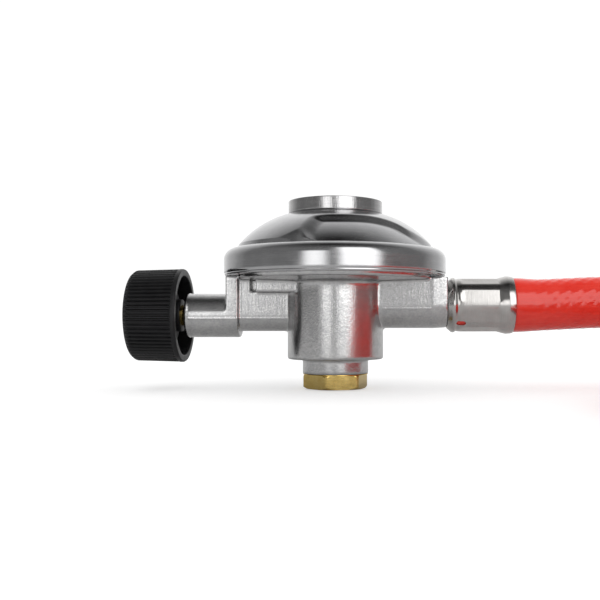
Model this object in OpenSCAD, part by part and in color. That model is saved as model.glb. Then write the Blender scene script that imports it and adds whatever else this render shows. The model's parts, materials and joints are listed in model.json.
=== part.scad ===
// Low-pressure propane regulator with a shut-off tap and a rubber gas hose.
// Millimetres. +Z is up along the vertical boss, +X points towards the hose.
// The origin is on the boss axis, in the lower face of the brass inlet connector.

/* [Housing] */
// Radius of the vertical boss
boss_r = 14.2; // [14:0.1:15]
// Height of the boss's lower face
boss_z = 8.7; // [8.5:0.1:9]
// Radius of the short neck between the boss and the connector
neck_r = 9.75; // [9.6:0.05:10]
// Radius of the flange that carries the diaphragm
flange_r = 31.4; // [31.2:0.05:31.42]
// Radius of the disc under the flange
underside_r = 28.5; // [28:0.1:29]
// Height of the underside of the housing
underside_z = 32.2; // [32:0.1:32.3]
// Radius of the well above the boss, where the lever works
well_r = 12.4; // [12.2:0.1:12.5]

/* [Bonnet] */
// Outer radius of the bonnet's rim
rim_r = 32.8; // [32.7:0.1:33.2]
// Height of the lower edge of the rolled rim
rim_z = 33.1; // [33:0.05:33.2]
// Radius of the rounded shoulder at the top of the rim
shoulder_r = 3.2; // [2.6:0.1:3.2]
// Depth of the swirl pockets below the domed lands
swirl_depth = 1.4; // [1:0.1:1.8]
// Number of swirl pockets around the dome
swirl_count = 2; // [1:1:2]
// Radius of the metal cap
cap_r = 13.95; // [13.5:0.05:14.5]
// Height of the cap's flat top
cap_top = 55.3; // [54.5:0.1:57]

/* [Inlet] */
// Width across the flats of the connector's hexagon
inlet_flats = 17; // [17:0.5:18]
// Radius of the connector's threaded hole
inlet_hole_r = 5.2; // [5:0.1:5.5]
// Depth of the connector's threaded hole
inlet_hole_depth = 9; // [8:0.1:9]

/* [Tap] */
// Height of the tap's axis
tap_z = 21.6; // [21.4:0.1:21.8]
// Radius of the stem that carries the tap
stem_r = 6.5; // [6.3:0.1:6.7]
// Distance from the boss axis to the end of the stem
stem_end = 43.95; // [43.5:0.05:44.2]
// Radius of the knob over its ribs at the open end
knob_r = 13.8; // [13.5:0.1:14.5]
// Length of the knob
knob_len = 15.4; // [15:0.05:16]
// Number of ribs around the knob
knob_ribs = 66; // [24:1:72]

/* [Hose] */
// Height of the outlet's axis
outlet_z = 24.7; // [24.5:0.1:24.9]
// Distance from the boss axis to the end of the outlet arm
outlet_end = 33; // [32.5:0.1:33.2]
// Outer radius of the hose
hose_r = 7.5; // [7.5:0.1:7.6]
// Inner radius of the hose
hose_bore_r = 4.05; // [4.05:0.05:4.5]
// Radius from the coil's axis to the middle of its turns
coil_r = 75; // [75:1:90]
// Width across the flats of the swivel nut
nut_flats = 19.05; // [19:0.05:20]
// Radius of the swivel nut's threaded hole
nut_hole_r = 7.2; // [7.1:0.1:7.4]

/* [Hidden] */
$fn = 72;

zinc = "silver";
steel = "gainsboro";
brass = "goldenrod";
rubber_black = "dimgray";
hose_red = "red";

slack = 0.05;            // radial play of every running fit and thread
eps = 0.1;               // how far a cut runs past the face it opens

// Housing
dish_r = 27;             // lower chamber under the diaphragm
dish_z = 33.8;
flange_z = 34.25;        // the flange's lower and upper faces
flange_top = 36.2;
bead_h = 2;              // thickness of the diaphragm's clamped edge
well_z = 26.5;
arm_top = 32.7;          // the arms' flat sides reach into the underside disc
arm_r = 4.7;             // rounded bottom of the inlet arm
outlet_r = 6.9;          // rounded bottom of the outlet arm
slab_x0 = -31.7;         // the plate between the stem and the inlet arm
slab_x1 = -28.2;
collar_r = stem_r + 0.15;
collar_len = 0.8;

// Gas ways
tap_bore_r = 3.2;
tap_seat_x = -5.5;
seat_hole_r = 1.2;
inlet_way_r = 1.5;
outlet_way_r = 4;
outlet_way_x = 5;
tail_thread_x = 24;
tail_thread_r = 5.5;

// Bonnet
dome_centre = [7, 24.4]; // the dome is an arc swung about a point off the axis
dome_r = 27.9;
dome_wall = 1.6;
dome_edge_r = 28.6;
moat_r = 29.2;
moat_z = 39.6;
rim_top = 41;
cap_seat_z = 51.2;
bonnet_bore_r = 11;
bonnet_neck_z = 44.5;
bonnet_neck_r = 13;
rim_wall_r = 31.45;
lip_r = 29.6;
vent_r = 0.8;
vent_pos = [12, 18];

// Diaphragm stack, at rest with no pressure
plate_r = 17;
membrane_z = flange_top;
membrane_t = 0.8;
washer_r = 10;
washer_t = 0.8;
post_r = 3.2;
post_z = 28.2;
stud_r = 2;
plate_z = membrane_z + membrane_t;
plate_t = 1.2;
spring_z0 = plate_z + plate_t;
spring_z1 = 46;
spring_r = 8.5;
wire_r = 0.6;
spring_turns = 4;

// Lever
pivot = [-6.2, 31.5];    // x and z of the pin
lever_arm = 6.2;
lever_lift = 2;          // travel of the diaphragm
lever_half_turn = asin(lever_lift / 2 / lever_arm);
lever_t = 1.2;
lever_w = 3.8;
hook_r = 1.2;
lever_hub_r = 1.45;
pin_r = 0.8;
jet_x = -9;
jet_top = 30.2;
pad_r = 1.35;

// Tap
bush_x = -36;
bush_r = 4.4;
bush_flange_r = 5.6;     // the flange lies in the end of the stem
bush_flange_t = 0.75;
spindle_r = 3;
knob_x = -stem_end - 0.9;
knob_end_r = knob_r - 0.6;
skirt_r = 11.8;
hub_r = 8;
recess_depth = 9;

// Hose fittings: a fitting is drawn along +Z from its bead and then laid on its axis
ferrule_len = 20.1;
ferrule_x = outlet_end + 0.15;
ferrule_r = 7.85;
ferrule_bore_r = 7.35;
bead_r = 8.2;
flare_r = 8.6;
crimp_flat_r = 7.68;     // from the axis to the middle of a crimped flat
crimp_z = [4.4, 15.6];
sight_hole = [2.6, 1.2];
barb_r = 3.95;
barb_bore_r = 2.8;
tail_neck_r = 4.9;

// Route of the hose between the ferrule and the coil
run_route = [
    [ferrule_x + ferrule_len, 0, 24.7], [60, 0, 24.7], [69, 0, 25.1], [79, 0, 25.5], [91, 0, 25.4],
    [106, 0, 24.5], [123, 0, 22.7], [140, 0, 21], [148, 0, 20.5], [155, 0, 20.5]
];
coil_centre = [155, -75];
lane = hose_r;           // each turn lies half a lane inside or outside the coil radius
top_layer_z = 20.5;
// Route of the hose between the coil and the far fitting
end_route = [
    [237.5, -75, 7.5], [237.5, -80, 7.5], [237.5, -86, 8.1], [237.5, -93, 9.8], [237.5, -100, 11.3],
    [237.5, -105, 11.3]
];
far_end = [237.5, -105, 11.3];
nut_len = 21;
nut_start = 23.5;
nut_relief_r = 7.9;
nut_wall = 2.5;
nut_thread_start = 32.5;

function polar(r, a) = r * [cos(a), sin(a)];
function arc(c, r, a0, a1, n) = [for (i = [0:n]) c + polar(r, a0 + (a1 - a0) * i / n)];

// A tube of radius r along a list of points, none of whose stretches is vertical
module tube_along(pts, r, sides = 10) {
    n = len(pts);
    tangents = [for (i = [0:n - 1]) let (d = pts[min(i + 1, n - 1)] - pts[max(i - 1, 0)]) d / norm(d)];
    rings = [
        for (i = [0:n - 1])
            let (side = cross([0, 0, 1], tangents[i]) / norm(cross([0, 0, 1], tangents[i])))
            let (lift = cross(tangents[i], side))
            for (k = [0:sides - 1]) pts[i] + r * (cos(360 * k / sides) * side + sin(360 * k / sides) * lift)
    ];
    walls = [
        for (i = [0:n - 2], k = [0:sides - 1])
            let (a = i * sides, b = a + sides, next = (k + 1) % sides)
            [a + k, b + k, b + next, a + next]
    ];
    start = [for (k = [0:sides - 1]) k];
    finish = [for (k = [0:sides - 1]) n * sides - 1 - k];
    polyhedron(concat(rings), concat(walls, [start, finish]), convexity = 4);
}

// Lays a shape drawn along +Z onto the axis along +X that starts at p
module along_x(p) {
    translate(p) rotate([0, 90, 0]) children();
}

// The end of a shape whose bottom is half round and whose sides run straight up, along X
module cradle(x0, x1, r, axis_z, top) {
    along_x([x0, 0, axis_z]) cylinder(h = x1 - x0, r = r);
    translate([x0, -r, axis_z]) cube([x1 - x0, 2 * r, top - axis_z]);
}

module hexagon(flats, h) {
    cylinder(h = h, r = flats / sqrt(3), $fn = 6);
}

// ---------------------------------------------------------------- housing

pad_x = [-22.5, -9.2];   // cast lugs on both sides of the inlet arm
pad_y = 9.4;
pad_z = 28.4;
pad_slot_w = 2.15;       // slot between each lug and the arm's side
ear_x = [-7.8, -4.6];    // ears that hold the lever's pin
ear_y = [2.15, 3.8];
ear_top = 33.2;

module lugs() {
    translate([pad_x[0], -pad_y, pad_z]) cube([pad_x[1] - pad_x[0], 2 * pad_y, arm_top - pad_z]);
}

module housing_outside() {
    translate([0, 0, 4.45]) cylinder(h = boss_z - 4.4, r = neck_r);
    translate([0, 0, boss_z]) cylinder(h = arm_top - boss_z, r = boss_r);
    translate([0, 0, underside_z]) cylinder(h = flange_z - underside_z + eps, r = underside_r);
    translate([0, 0, flange_z]) cylinder(h = flange_top - flange_z, r = flange_r);
    cradle(slab_x0, slab_x1, stem_r, tap_z, arm_top);
    cradle(slab_x1 - 0.2, 0, arm_r, tap_z, arm_top);
    cradle(0, outlet_end, outlet_r, outlet_z, arm_top);
    along_x([-stem_end, 0, tap_z]) cylinder(h = collar_len, r = collar_r);
    along_x([-stem_end + 0.2, 0, tap_z]) cylinder(h = stem_end + slab_x1 - 1, r = stem_r);
    lugs();
}

module ears() {
    difference() {
        for (side = [-1, 1])
            translate([ear_x[0], side > 0 ? ear_y[0] : -ear_y[1], well_z - eps])
                cube([ear_x[1] - ear_x[0], ear_y[1] - ear_y[0], ear_top - well_z + eps]);
        translate([pivot[0], 0, pivot[1]]) rotate([90, 0, 0])
            cylinder(h = 20, r = pin_r + 0.02, center = true);
    }
}

module body() {
    spigot_r = 8;
    spigot_top = 13.05;
    color(zinc) union() {
        difference() {
            housing_outside();
            translate([0, 0, dish_z]) cylinder(h = 5, r = dish_r);
            translate([0, 0, well_z]) cylinder(h = 10, r = well_r);
            translate([0, 0, 4]) cylinder(h = spigot_top - 4, r = spigot_r);
            translate([0, 0, spigot_top - eps]) cylinder(h = tap_z - spigot_top + 1, r = inlet_way_r);
            along_x([tap_seat_x - eps, 0, tap_z]) cylinder(h = eps - tap_seat_x, r = seat_hole_r);
            along_x([-stem_end - eps, 0, tap_z]) cylinder(h = stem_end + tap_seat_x + eps, r = tap_bore_r);
            along_x([-stem_end - eps, 0, tap_z]) cylinder(h = stem_end + bush_x + eps, r = bush_r + slack);
            along_x([-stem_end - eps, 0, tap_z])
                cylinder(h = bush_flange_t + eps, r = bush_flange_r + slack);
            translate([jet_x, 0, tap_z]) cylinder(h = 6, r = 2.05);
            along_x([outlet_way_x, 0, outlet_z]) cylinder(h = 25, r = outlet_way_r);
            along_x([tail_thread_x, 0, outlet_z]) cylinder(h = 20, r = tail_thread_r);
            for (side = [-1, 1])
                translate([pad_x[0] - pad_slot_w, side > 0 ? 3.9 : -6, pad_z]) cube([pad_slot_w, 2.1, 3.6]);
        }
        ears();
    }
}

// ---------------------------------------------------------------- bonnet

function dome_arc(r, r0, r1, n) =
    arc(dome_centre, r, acos((r0 - dome_centre[0]) / r), acos((r1 - dome_centre[0]) / r), n);

module bonnet_profile() {
    cap_flat_r = dome_centre[0] + sqrt(pow(dome_r, 2) - pow(cap_seat_z - dome_centre[1], 2));
    inner_r = dome_r - swirl_depth - dome_wall;
    polygon(concat(
        [[lip_r, rim_z], [rim_r - 0.5, rim_z], [rim_r, rim_z + 0.5]],
        arc([rim_r - shoulder_r, rim_top - shoulder_r], shoulder_r, 0, 90, 6),
        [[moat_r + 0.3, rim_top - 0.2], [moat_r, moat_z], [dome_edge_r, moat_z]],
        dome_arc(dome_r, dome_edge_r, cap_flat_r, 10),
        [[bonnet_bore_r, cap_seat_z], [bonnet_bore_r, bonnet_neck_z], [bonnet_neck_r, bonnet_neck_z]],
        dome_arc(inner_r, bonnet_neck_r, dish_r, 10),
        [[dish_r, flange_top + bead_h], [rim_wall_r, flange_top + bead_h]],
        [[rim_wall_r, flange_z], [lip_r, flange_z]]
    ));
}

// Plan of one swirl pocket: a blunt round end, widening from the dome's top to the rim and
// then tapering away along it
pocket_end = [-2.6, -23.9];
pocket_end_r = 5;
pocket_tip = -12;
pocket_bend = -75;
pocket_in_r = 18.6;

function pocket_edge(a) =
    pocket_in_r + (29.2 - pocket_in_r) * pow((a - pocket_bend) / (pocket_tip - pocket_bend), 1.5);

module pocket_plan() {
    polygon(concat(
        [for (i = [8:-1:1])
            let (a = pocket_bend + (pocket_tip - pocket_bend) * i / 8)
            polar(pocket_edge(a), a)],
        arc(pocket_end, pocket_end_r, 90, 235, 8),
        [for (a = [-104:13:-13]) polar(34, a)]
    ));
}

module swirl_cut() {
    floor_r = dome_r - swirl_depth;
    floor_edge_r = dome_centre[0] + sqrt(pow(floor_r, 2) - pow(moat_z - dome_centre[1], 2));
    for (k = [0:swirl_count - 1])
        intersection() {
            rotate([0, 0, 360 * k / swirl_count]) translate([0, 0, 38]) linear_extrude(20) pocket_plan();
            rotate_extrude() polygon(concat(
                dome_arc(floor_r, 15, floor_edge_r, 10),
                [[28.9, moat_z], [28.9, 56], [15, 56]]
            ));
        }
}

module bonnet() {
    color(steel) difference() {
        rotate_extrude() bonnet_profile();
        swirl_cut();
        translate([vent_pos[0], vent_pos[1], 38]) cylinder(h = 20, r = vent_r);
    }
}

module top_cap() {
    spigot_z = 49.4;
    color(steel) difference() {
        union() {
            rotate_extrude() polygon([
                [0, cap_seat_z], [cap_r - 0.2, cap_seat_z], [cap_r, cap_seat_z + 0.2],
                [cap_r, cap_top - 0.3], [cap_r - 0.3, cap_top], [0, cap_top]
            ]);
            translate([0, 0, spigot_z])
                cylinder(h = cap_seat_z - spigot_z + eps, r = bonnet_bore_r - slack);
        }
        translate([0, 0, spigot_z - eps]) cylinder(h = 4, r = 8.5);
    }
}

module adjusting_screw() {
    color(steel) difference() {
        union() {
            translate([0, 0, spring_z1]) cylinder(h = 2.6, r = bonnet_bore_r - slack);
            translate([0, 0, spring_z1 - 1.2]) cylinder(h = 1.3, r = spring_r - wire_r - 0.7);
        }
        translate([0, 0, spring_z1 + 0.8]) hexagon(8, 3);
    }
}

module main_spring() {
    steps = 16;
    rise = spring_z1 - spring_z0 - 2 * wire_r;
    helix = [
        for (i = [0:spring_turns * steps])
            let (a = 360 * i / steps)
            [spring_r * cos(a), spring_r * sin(a), spring_z0 + wire_r + rise * i / (spring_turns * steps)]
    ];
    color(steel) tube_along(helix, wire_r - 0.03, 8);
}

// ---------------------------------------------------------------- diaphragm and lever

module diaphragm() {
    fold = [19, 25];
    fold_h = 1.4;
    bumps = [
        for (r = [fold[0]:0.75:fold[1]]) [r, fold_h * sin(180 * (r - fold[0]) / (fold[1] - fold[0]))]
    ];
    n = len(bumps);
    color(rubber_black) rotate_extrude() polygon(concat(
        [[stud_r + slack, membrane_z]],
        [for (b = bumps) b + [0, membrane_z]],
        [[31.2, membrane_z], [31.2, membrane_z + bead_h], [28.9, membrane_z + bead_h], [28.4, plate_z]],
        [for (i = [n - 1:-1:0]) bumps[i] + [0, plate_z]],
        [[stud_r + slack, plate_z]]
    ));
}

module diaphragm_plate() {
    color(steel) rotate_extrude() polygon([
        [stud_r + slack, plate_z], [plate_r, plate_z], [plate_r + 0.8, plate_z + 1.2],
        [plate_r + 0.8, plate_z + 2], [plate_r, plate_z + 2], [plate_r - 0.6, plate_z + plate_t],
        [stud_r + slack, plate_z + plate_t]
    ]);
}

module diaphragm_washer() {
    color(steel) translate([0, 0, membrane_z - washer_t]) difference() {
        cylinder(h = washer_t, r = washer_r);
        translate([0, 0, -eps]) cylinder(h = 2, r = stud_r + slack);
    }
}

hook = [pivot[0] + lever_arm * cos(lever_half_turn), pivot[1] - lever_arm * sin(lever_half_turn)];

module diaphragm_post() {
    slot_half = hook_r + 0.1;
    color(brass) difference() {
        union() {
            translate([0, 0, post_z]) cylinder(h = membrane_z - washer_t - post_z, r = post_r);
            translate([0, 0, post_z + 5]) cylinder(h = spring_z0 + 2.4 - post_z - 5, r = stud_r);
        }
        translate([-5, -2.15, hook[1] - slot_half]) cube([6.6, 4.3, 2 * slot_half]);
    }
}

module diaphragm_nut() {
    color(steel) difference() {
        translate([0, 0, spring_z0]) hexagon(6, 2);
        translate([0, 0, spring_z0 - eps]) cylinder(h = 3, r = stud_r + slack);
    }
}

// The lever is drawn closed about its pin, then turned back to rest
module lever_at_rest() {
    translate([pivot[0], 0, pivot[1]]) rotate([0, 2 * lever_half_turn, 0]) children();
}

module lever() {
    color(steel) lever_at_rest() difference() {
        union() {
            rotate([90, 0, 0]) cylinder(h = 4, r = lever_hub_r, center = true);
            translate([-5, -lever_w / 2, -lever_t / 2]) cube([5, lever_w, lever_t]);
            rotate([0, -lever_half_turn, 0]) {
                translate([0, -1.5, -lever_t / 2]) cube([lever_arm, 3, lever_t]);
                translate([lever_arm, 0, 0]) rotate([90, 0, 0])
                    cylinder(h = 3.9, r = hook_r, center = true);
            }
        }
        rotate([90, 0, 0]) cylinder(h = 6, r = pin_r + slack, center = true);
    }
}

module lever_pin() {
    color(steel) translate([pivot[0], 0, pivot[1]]) rotate([90, 0, 0])
        cylinder(h = 2 * ear_y[1], r = pin_r, center = true);
}

module valve_pad() {
    pad_t = pivot[1] - lever_t / 2 - jet_top - slack;
    color(rubber_black) lever_at_rest()
        translate([jet_x - pivot[0], 0, -lever_t / 2 - pad_t]) cylinder(h = pad_t, r = pad_r);
}

module jet() {
    color(brass) difference() {
        union() {
            translate([jet_x, 0, 24.9]) cylinder(h = 2.1, r = 2);
            translate([jet_x, 0, 26.9]) cylinder(h = jet_top - 26.9, r = 1.1);
        }
        translate([jet_x, 0, 24]) cylinder(h = 8, r = 0.5);
    }
}

// ---------------------------------------------------------------- inlet connector

hex_h = 4.05;
connector_top = 13;
seal_r = 4.8;
seal_z = [inlet_hole_depth, inlet_hole_depth + 1.4];
filter_z = 11.8;

module inlet_connector() {
    corner_r = inlet_flats / sqrt(3);
    hex_turn = 15;
    color(brass) difference() {
        union() {
            intersection() {
                rotate([0, 0, hex_turn]) hexagon(inlet_flats, hex_h);
                rotate_extrude() polygon([
                    [0, 0], [corner_r - 0.9, 0], [corner_r - 0.1, 0.6], [corner_r - 0.1, hex_h], [0, hex_h]
                ]);
            }
            translate([0, 0, hex_h - 0.05]) cylinder(h = 0.45, r = neck_r - 0.3);
            translate([0, 0, 4]) cylinder(h = connector_top - 4, r = 7.95);
        }
        translate([0, 0, -eps]) cylinder(h = inlet_hole_depth + eps, r = inlet_hole_r);
        translate([0, 0, seal_z[0] - eps]) cylinder(h = seal_z[1] - seal_z[0] + eps, r = seal_r);
        translate([0, 0, seal_z[1] - eps]) cylinder(h = filter_z - seal_z[1] + eps, r = 4);
        translate([0, 0, filter_z - eps]) cylinder(h = 3, r = inlet_way_r);
    }
}

module inlet_seal() {
    color(rubber_black) translate([0, 0, seal_z[0]]) difference() {
        cylinder(h = seal_z[1] - seal_z[0], r = seal_r - slack);
        translate([0, 0, -eps]) cylinder(h = 3, r = 2.5);
    }
}

module inlet_filter() {
    color(brass) translate([0, 0, seal_z[1] + slack]) cylinder(h = 1.1, r = 4 - slack);
}

// ---------------------------------------------------------------- tap

module tap_bush() {
    color(brass) difference() {
        union() {
            along_x([-stem_end, 0, tap_z]) cylinder(h = stem_end + bush_x, r = bush_r);
            along_x([-stem_end, 0, tap_z]) cylinder(h = bush_flange_t, r = bush_flange_r);
        }
        along_x([-stem_end - 2, 0, tap_z]) cylinder(h = 12, r = spindle_r + slack);
    }
}

// Profile of the spindle, as radius and distance out from the tap's seat
module tap_spindle() {
    seal_r = 2;
    guide_r = tap_bore_r - 0.1;
    color(brass) along_x([0, 0, tap_z]) mirror([0, 0, 1]) difference() {
        rotate_extrude() polygon([
            [0, 6.5], [1.2, 6.5], [1.2, 7.3], [2.2, 7.3], [2.2, 29.5], [guide_r, 30.2], [guide_r, 31.9],
            [seal_r, 31.9], [seal_r, 33.1], [guide_r, 33.1], [guide_r, 34.2], [2.6, 34.4], [2.6, 35.2],
            [spindle_r, 35.5], [spindle_r, 46], [2.8, 46.2], [2.8, 56.5], [0, 56.5]
        ]);
        translate([0, 0, 50]) cylinder(h = 10, r = 1.25);
        translate([2, -4, 47]) cube([2, 8, 12]);
    }
}

module tap_o_ring() {
    section_r = 0.55;
    color(rubber_black) along_x([-32.5, 0, tap_z])
        rotate_extrude() translate([2.6, 0]) circle(r = section_r);
}

module tap_pad() {
    pad_x0 = -7.25;
    color(rubber_black) difference() {
        along_x([pad_x0, 0, tap_z]) cylinder(h = tap_seat_x - pad_x0 - slack, r = 2.4);
        along_x([pad_x0 - eps, 0, tap_z]) cylinder(h = 0.95, r = 1.2 + slack);
    }
}

// Cross-section of the ribbed barrel: each rib is a pair of points on the crest and a pair at the root
module rib_section(crest, root) {
    pitch = 360 / knob_ribs;
    polygon([
        for (i = [0:knob_ribs - 1])
            for (p = [[root, 0], [crest, 0.25], [crest, 0.5], [root, 0.75]]) polar(p[0], (i + p[1]) * pitch)
    ]);
}

module tap_knob() {
    band = 1.2;
    round_r = 1.3;
    hub_face = 3.2;
    color("black") translate([knob_x, 0, tap_z]) rotate([0, -90, 0]) difference() {
        union() {
            rotate_extrude() polygon(concat(
                [[0, 0], [knob_r - 0.2, 0], [knob_r, 0.2], [knob_r, band], [knob_r - 0.6, band]],
                [[knob_r - 0.9, knob_len - 3]],
                arc([knob_end_r - 0.3 - round_r, knob_len - round_r], round_r, 0, 90, 5),
                [[0, knob_len]]
            ));
            intersection() {
                translate([0, 0, band - eps]) linear_extrude(knob_len) rib_section(knob_r + 1, knob_r - 1);
                rotate_extrude() polygon(concat(
                    [[0, 0.5], [knob_r, 0.5], [knob_r, band]],
                    arc([knob_end_r - round_r, knob_len - 0.1 - round_r], round_r, 0, 70, 5),
                    [[0, knob_len - 0.3]]
                ));
            }
        }
        difference() {
            translate([0, 0, -eps]) cylinder(h = recess_depth + eps, r = skirt_r);
            translate([0, 0, -1]) cylinder(h = recess_depth + 2, r = hub_r);
        }
        translate([0, 0, -eps]) cylinder(h = hub_face + eps, r = hub_r + 1);
        translate([0, 0, -eps]) cylinder(h = 12.1, r = spindle_r + 0.1);
        translate([0, 0, 10]) cylinder(h = 10, r = 1.3);
        translate([0, 0, knob_len - 2]) cylinder(h = 3, r = 3.3);
    }
}

module knob_screw() {
    head_r = 3.1;
    color(steel) translate([knob_x, 0, tap_z]) rotate([0, -90, 0]) difference() {
        union() {
            translate([0, 0, knob_len - 2]) cylinder(h = 1.6, r = head_r);
            translate([0, 0, 6]) cylinder(h = knob_len - 7, r = 1.2);
        }
        for (turn = [0, 90])
            rotate([0, 0, turn]) translate([-2, -0.35, knob_len - 1.2]) cube([4, 0.7, 3]);
    }
}

// ---------------------------------------------------------------- hose fittings

module ferrule_shape() {
    difference() {
        rotate_extrude() polygon(concat(
            [[tail_neck_r + slack, 0], [bead_r - 0.7, 0]],
            arc([bead_r - 0.7, 0.7], 0.7, -60, 0, 3),
            arc([bead_r - 0.7, 1.7], 0.7, 0, 70, 3),
            [[ferrule_r - 0.15, 2.7], [ferrule_r, 3.1], [ferrule_r, 15.8], [flare_r - 0.15, 17.6]],
            [[flare_r, 18.3], [flare_r - 0.05, 19], [flare_r - 0.3, ferrule_len]],
            [[ferrule_bore_r, ferrule_len]],
            [[ferrule_bore_r, 0.7], [tail_neck_r + slack, 0.7]]
        ));
        difference() {
            translate([0, 0, crimp_z[0]]) cylinder(h = crimp_z[1] - crimp_z[0], r = 10);
            translate([0, 0, crimp_z[0] - 1]) cylinder(h = 20, r = crimp_flat_r / cos(22.5), $fn = 8);
        }
    }
}

module sight_cut() {
    rotate([0, 0, 45]) translate([-9, -sight_hole[1] / 2, 3]) cube([4, sight_hole[1], sight_hole[0]]);
}

// A barbed insert from the thread or neck at z0 to the hose end of its ferrule
module barb_insert(z0, base_r) {
    barb_pitch = 3.4;
    root_r = barb_r - 0.4;
    difference() {
        rotate_extrude() polygon(concat(
            [[0, z0], [base_r, z0], [base_r, -0.2], [tail_neck_r, -0.2], [tail_neck_r, 1.4], [root_r, 1.4]],
            [for (i = [0:4])
                let (z = 3 + barb_pitch * i)
                each [[root_r, z], [barb_r, z + 0.2], [root_r, z + 3.2]]],
            [[0, ferrule_len - 0.1]]
        ));
        translate([0, 0, z0 - 1]) cylinder(h = 60, r = barb_bore_r);
    }
}

module socket_shape() {
    difference() {
        translate([0, 0, 2.2]) cylinder(h = ferrule_len - 2.2, r = ferrule_bore_r - slack);
        translate([0, 0, 2]) cylinder(h = ferrule_len, r = hose_bore_r);
    }
}

module hose_tail() {
    color(brass) along_x([ferrule_x, 0, outlet_z])
        barb_insert(tail_thread_x - ferrule_x, tail_thread_r - slack);
}

module ferrule() {
    color(steel) along_x([ferrule_x, 0, outlet_z]) difference() {
        ferrule_shape();
        mirror([1, 0, 0]) sight_cut();
    }
}

module hose_socket() {
    color(hose_red) along_x([ferrule_x, 0, outlet_z]) socket_shape();
}

module hose_run() {
    color(hose_red) tube_along(run_route, hose_r);
}

// One lane of the coil, from start to end in degrees clockwise from the point where the hose arrives
module coil_lane(r, z, start, end) {
    rotate([0, 0, 90 - end]) rotate_extrude(angle = end - start) translate([r, z]) polygon([
        [-7.5, -3.5], [-4, -7.5], [4, -7.5], [7.5, -3.5], [7.5, 3.5], [4, 7.5], [-4, 7.5], [-7.5, 3.5]
    ]);
}

module hose_coil() {
    color(hose_red) translate([coil_centre[0], coil_centre[1], 0]) {
        coil_lane(coil_r - lane + 0.5, hose_r, 0, 360);
        coil_lane(coil_r + lane - 0.5, hose_r, 200, 450);
        coil_lane(coil_r, top_layer_z, 0, 225);
    }
}

module hose_end_run() {
    color(hose_red) tube_along(end_route, hose_r);
}

// Lays a fitting drawn along +Z on the far end, with its bead away from the hose
module at_far_end() {
    translate(far_end) rotate([90, 0, 0]) children();
}

module facing_hose() {
    translate([0, 0, ferrule_len]) mirror([0, 0, 1]) children();
}

module far_hose_socket() {
    color(hose_red) at_far_end() facing_hose() socket_shape();
}

module far_ferrule() {
    color(steel) at_far_end() facing_hose() ferrule_shape();
}

module far_stem() {
    cone_z = 32;
    collar = [26.3, 29.3];
    color(brass) at_far_end() difference() {
        union() {
            facing_hose() barb_insert(-1, tail_neck_r);
            translate([0, 0, ferrule_len]) cylinder(h = collar[1] - ferrule_len, r = tail_neck_r);
            rotate_extrude() polygon([
                [0, collar[0]], [7, collar[0]], [7, collar[1]], [4, cone_z], [0, cone_z]
            ]);
        }
        translate([0, 0, -1]) cylinder(h = 40, r = barb_bore_r);
    }
}

module swivel_nut() {
    corner_r = nut_flats / sqrt(3);
    nut_end = nut_start + nut_len;
    color(brass) at_far_end() difference() {
        intersection() {
            translate([0, 0, nut_start]) hexagon(nut_flats, nut_len);
            rotate_extrude() polygon([
                [0, nut_start], [corner_r - 1.4, nut_start], [corner_r - 0.1, nut_start + 0.8],
                [corner_r - 0.1, nut_end - 0.6], [corner_r - 1.1, nut_end], [0, nut_end]
            ]);
        }
        translate([0, 0, nut_start - eps]) cylinder(h = nut_wall + 1, r = tail_neck_r + slack);
        translate([0, 0, nut_start + nut_wall])
            cylinder(h = nut_thread_start - nut_start - nut_wall, r = nut_relief_r);
        translate([0, 0, nut_thread_start - eps]) cylinder(h = nut_len, r = nut_hole_r);
    }
}

body();
bonnet();
top_cap();
adjusting_screw();
main_spring();
diaphragm();
diaphragm_plate();
diaphragm_washer();
diaphragm_post();
diaphragm_nut();
lever();
lever_pin();
valve_pad();
jet();
inlet_connector();
inlet_seal();
inlet_filter();
tap_bush();
tap_spindle();
tap_o_ring();
tap_pad();
tap_knob();
knob_screw();
hose_tail();
ferrule();
hose_socket();
hose_run();
hose_coil();
hose_end_run();
far_hose_socket();
far_ferrule();
far_stem();
swivel_nut();
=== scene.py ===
"""The looks of a propane regulator with a shut-off tap and a red gas hose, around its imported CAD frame.

Shapes are worked out in millimetres and turned into metres when their mesh is made.
+Z is up along the boss, +X points towards the hose, -Y is the front.
"""

import json
import math

import bmesh
import bpy
import numpy as np
from mathutils import Matrix


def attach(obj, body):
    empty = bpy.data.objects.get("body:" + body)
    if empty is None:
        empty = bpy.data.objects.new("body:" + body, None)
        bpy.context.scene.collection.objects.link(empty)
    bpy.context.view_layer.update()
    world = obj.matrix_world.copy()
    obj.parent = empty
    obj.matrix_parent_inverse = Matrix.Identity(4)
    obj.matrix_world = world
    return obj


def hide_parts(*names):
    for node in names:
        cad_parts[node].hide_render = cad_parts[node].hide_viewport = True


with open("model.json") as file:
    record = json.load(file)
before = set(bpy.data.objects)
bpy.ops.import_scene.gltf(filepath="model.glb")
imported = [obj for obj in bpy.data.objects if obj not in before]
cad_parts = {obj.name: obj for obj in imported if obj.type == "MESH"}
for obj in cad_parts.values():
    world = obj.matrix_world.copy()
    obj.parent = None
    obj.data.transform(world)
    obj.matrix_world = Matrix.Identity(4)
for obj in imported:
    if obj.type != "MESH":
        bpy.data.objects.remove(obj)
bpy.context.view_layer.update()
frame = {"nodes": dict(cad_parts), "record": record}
MM = 0.001

# ---------------------------------------------------------------- camera

CAMERA_X = 0.01035          # the camera stands a little right of the boss's axis
CAMERA_Z = 0.0203           # and level with the tap
CAMERA_BACK = 0.2388
SHIFT_RIGHT = -0.117        # lens shift, as a share of the frame
SHIFT_UP = 0.033

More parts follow.
